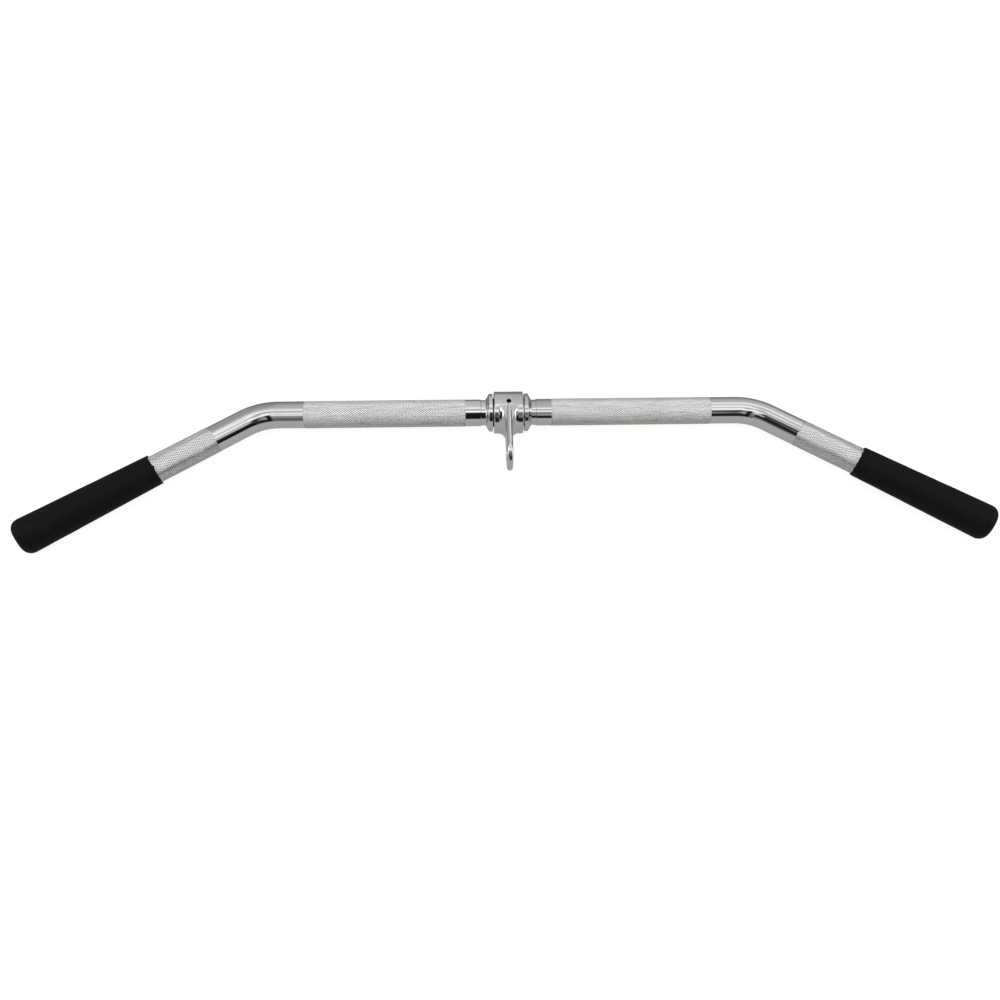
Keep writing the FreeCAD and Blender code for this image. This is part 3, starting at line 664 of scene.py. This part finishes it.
def make_world():
    """The room as strips side by side, each a ramp over the half circle from front to back."""
    world = bpy.data.worlds.new("studio")
    bpy.context.scene.world = world
    world.use_nodes = True
    tree = world.node_tree
    tree.nodes.clear()
    way = add(tree, "SeparateXYZ", {0: add(tree, "TexCoord").outputs["Generated"]}).outputs
    ahead = add(tree, "Math", {0: way["Y"], 1: -1.0}, operation="MULTIPLY")
    turn = add(tree, "Math", {0: way["Z"], 1: ahead.outputs[0]}, operation="ARCTAN2")
    share = add(tree, "Math", {0: turn.outputs[0], 1: 1 / math.pi}, operation="MULTIPLY",
                use_clamp=True).outputs[0]
    room = strip_light(tree, share, MIDDLE)
    for strip, start, full in STRIPS:
        room = blend_in(tree, room, strip_light(tree, share, strip), way["X"], start, full)
    aside = add(tree, "Math", {0: way["X"]}, operation="ABSOLUTE").outputs[0]
    room = blend_in(tree, room, strip_light(tree, share, ENDS), aside, ENDS_START, ENDS_FULL)
    lit = add(tree, "Background", {"Color": room, "Strength": ROOM_STRENGTH}).outputs[0]
    white = add(tree, "Background", {"Color": linear("#FFFFFF"), "Strength": 1.0}).outputs[0]
    seen = add(tree, "LightPath").outputs["Is Camera Ray"]
    mixed = add(tree, "MixShader", {0: seen, 1: lit, 2: white})
    add(tree, "OutputWorld", {"Surface": mixed.outputs[0]})


def make_lamp():
    """One long soft box over the bar, a little to the front, for the shadow and for matte surfaces."""
    lamp = bpy.data.lights.new("soft box", "AREA")
    lamp.shape = "RECTANGLE"
    lamp.size, lamp.size_y = 3.6, 1.25
    lamp.energy = 20.0
    light = bpy.data.objects.new("soft box", lamp)
    bpy.context.scene.collection.objects.link(light)
    light.location = (0, -0.72, 1.4)
    light.rotation_euler = (math.radians(27), 0, 0)
    light.visible_glossy = False


def make_camera():
    """Where the photo was taken from: left of the middle, in front and well above, slightly rolled."""
    azimuth, elevation, roll = (math.radians(v) for v in (-3.763, 59.238, 2.4455))
    camera = bpy.data.objects.new("camera", bpy.data.cameras.new("camera"))
    bpy.context.scene.collection.objects.link(camera)
    camera.data.sensor_width = 36.0
    camera.data.lens = 34.801
    camera.data.clip_start = 0.05
    camera.location = (-0.04404, -0.55084, 0.82929)
    camera.rotation_mode = "QUATERNION"
    turn = Matrix.Rotation(azimuth, 3, "Z") @ Matrix.Rotation(math.pi / 2 - elevation, 3, "X")
    camera.rotation_quaternion = (turn @ Matrix.Rotation(roll, 3, "Z")).to_quaternion()
    bpy.context.scene.camera = camera


# The object

# Bright chrome mirrors the room: in long draw marks on the tubes, a little wavy on the casting, and
# with fine turning marks on the collars and the spindle
chrome_tube = chrome_plate("chrome plate on drawn tube", "straight", grain=(70, 1.4, 1.4),
                           streak_height=0.006, colour="#D2D2D1", clean=0.035, worn=0.09)
chrome_cast = chrome_plate("chrome plate on polished casting", "object", grain=(4, 4, 4),
                           streak_height=0.05, colour="#D0D0CF", clean=0.04, worn=0.1, grease_and_shade=oil_hole)
chrome_turned = chrome_plate("chrome plate on turned steel", "object", grain=(0.35, 12, 12),
                             streak_height=0.002, colour="#D2D2D1", clean=0.05, worn=0.12)
chrome_ground = chrome_plate("chrome plate on ground bar", "object", grain=(0.35, 12, 12),
                             streak_height=0.001, colour="#D2D2D1", clean=0.04, worn=0.1,
                             grease_and_shade=grease_and_shade_band)

# The knurl is satin and pale in the middle, and brighter with darker grooves on the arms. On both, light
# and shade are painted: lighter above the front, toned down round the rest.
knurled_middle = knurled_chrome("knurled chrome plate, middle", ("#ECECEB", "#D2D2D1", "#303030"),
                                metal=(0.68, 0.35), dull=(0.29, 0.45), polish=0.5, painted_shade_tone="#EDEDEC",
                                lit_film_share=0.17)
knurled_arm = knurled_chrome("knurled chrome plate, arms", ("#F4F4F3", "#CCCCCB", "#101010"),
                             metal=(0.95, 0.7), dull=(0.29, 0.42), polish=0.4, painted_shade_tone="#E0E0DF",
                             lit_film_share=0.4)

# Matte black rubber, dull black nylon, sooty black oxide, and bare steel in a satin and a grey finish
rubber = grip_rubber()
nylon = plain_material("black nylon", "#141414", "#1E1E1E", grain=0.6, metallic=0.0, roughness=0.5)
black_oxide = plain_material("black oxide steel", "#1B1C1E", "#2A2B2D", grain=0.4, metallic=1.0,
                             roughness=0.4)
ground_steel = plain_material("ground steel", "#9A9B9C", "#B4B5B6", grain=0.3, metallic=1.0,
                              roughness=0.32)
stamped_steel = plain_material("stamped steel", "#8A8B8C", "#A6A7A8", grain=0.6, metallic=1.0,
                               roughness=0.45)

FINISHES = {"swivel_hanger": chrome_cast, "centre_spindle": chrome_ground}
for side_name, _ in SIDES:
    FINISHES["collar_" + side_name] = chrome_turned
    FINISHES["bushing_" + side_name] = nylon
    FINISHES["collar_screw_" + side_name] = black_oxide
    FINISHES["spigot_pin_" + side_name] = ground_steel
    FINISHES["end_disc_" + side_name] = stamped_steel
for node_name, finish in FINISHES.items():
    frame["nodes"][node_name].material_slots[0].material = finish

for side_name, side in SIDES:
    make_tube(side_name, side, chrome_tube)
    make_knurl("knurl_middle_" + side_name, side, KNURL_START - TUBE_START, KNURL_END - TUBE_START,
               knurled_middle)
    make_knurl("knurl_arm_" + side_name, side, CORNER + ARM_KNURL_START,
               CORNER + GRIP_START + KNURL_UNDER_GRIP, knurled_arm)
    make_grip(side_name, side, rubber)

make_floor()
make_world()
make_lamp()
make_camera()
bpy.context.scene.view_settings.view_transform = "Standard"
